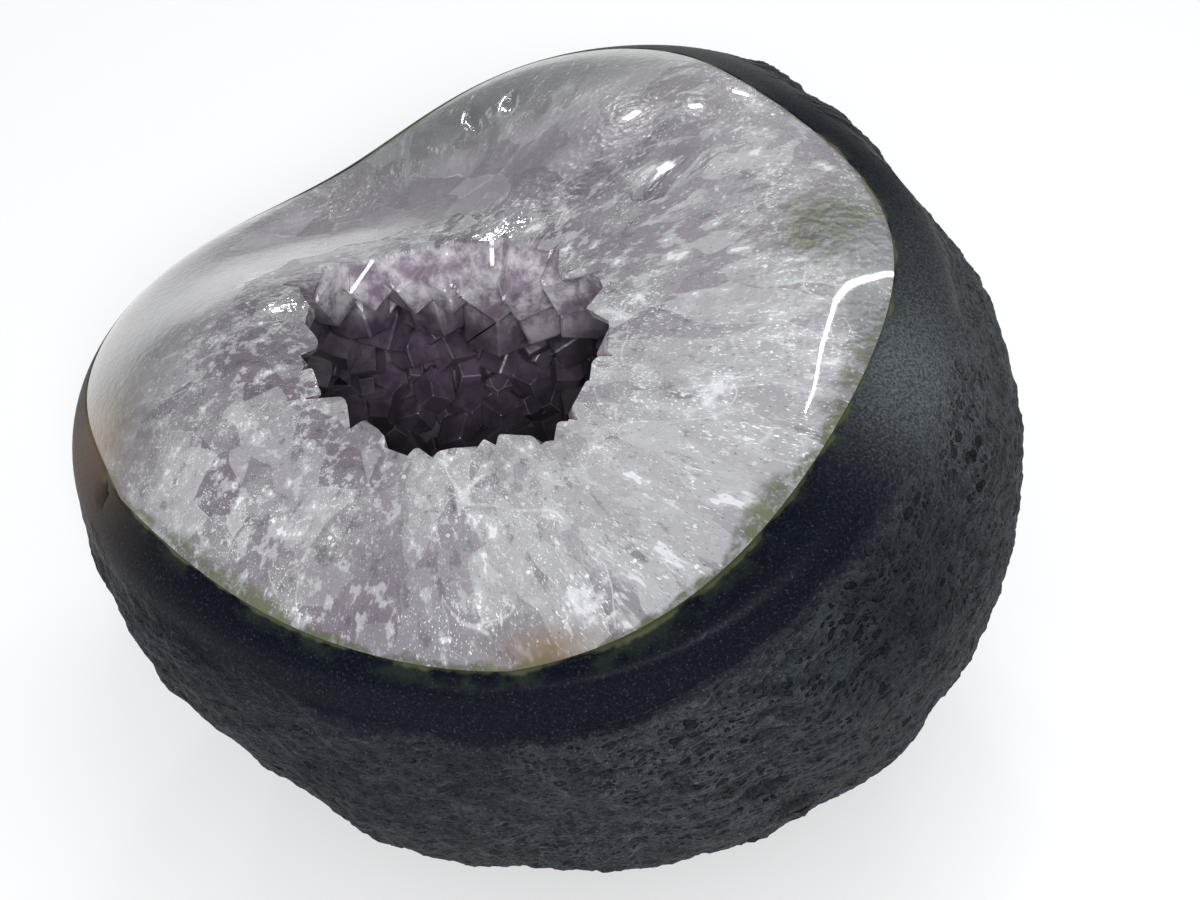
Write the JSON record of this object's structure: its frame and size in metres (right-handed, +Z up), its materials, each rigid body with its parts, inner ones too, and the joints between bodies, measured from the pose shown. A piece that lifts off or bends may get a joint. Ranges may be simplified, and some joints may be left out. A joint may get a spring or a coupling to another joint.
{
  "type": "geode half",
  "caption": "Half of a geode: dark pitted basalt rind, polished pale quartz band and a hollow lined with amethyst points, resting on a ground flat base.",
  "frame": {"origin": "middle of the object's outline seen from above, at the height of the flat base", "axes": "+Z up from the base; +X to the right and +Y away from a viewer who faces the low front of the polished face"},
  "size_m": [0.1562, 0.154, 0.0967],
  "materials": {
    "basalt": "pitted, matte, ground smooth beside the quartz",
    "quartz": "polished, milky and see-through in depth",
    "amethyst": "clear crystal faces"
  },
  "bodies": {
    "root": {"basalt_rind": "basalt", "quartz_band": "quartz", "crystal_crust": "amethyst"}
  },
  "joints": []
}
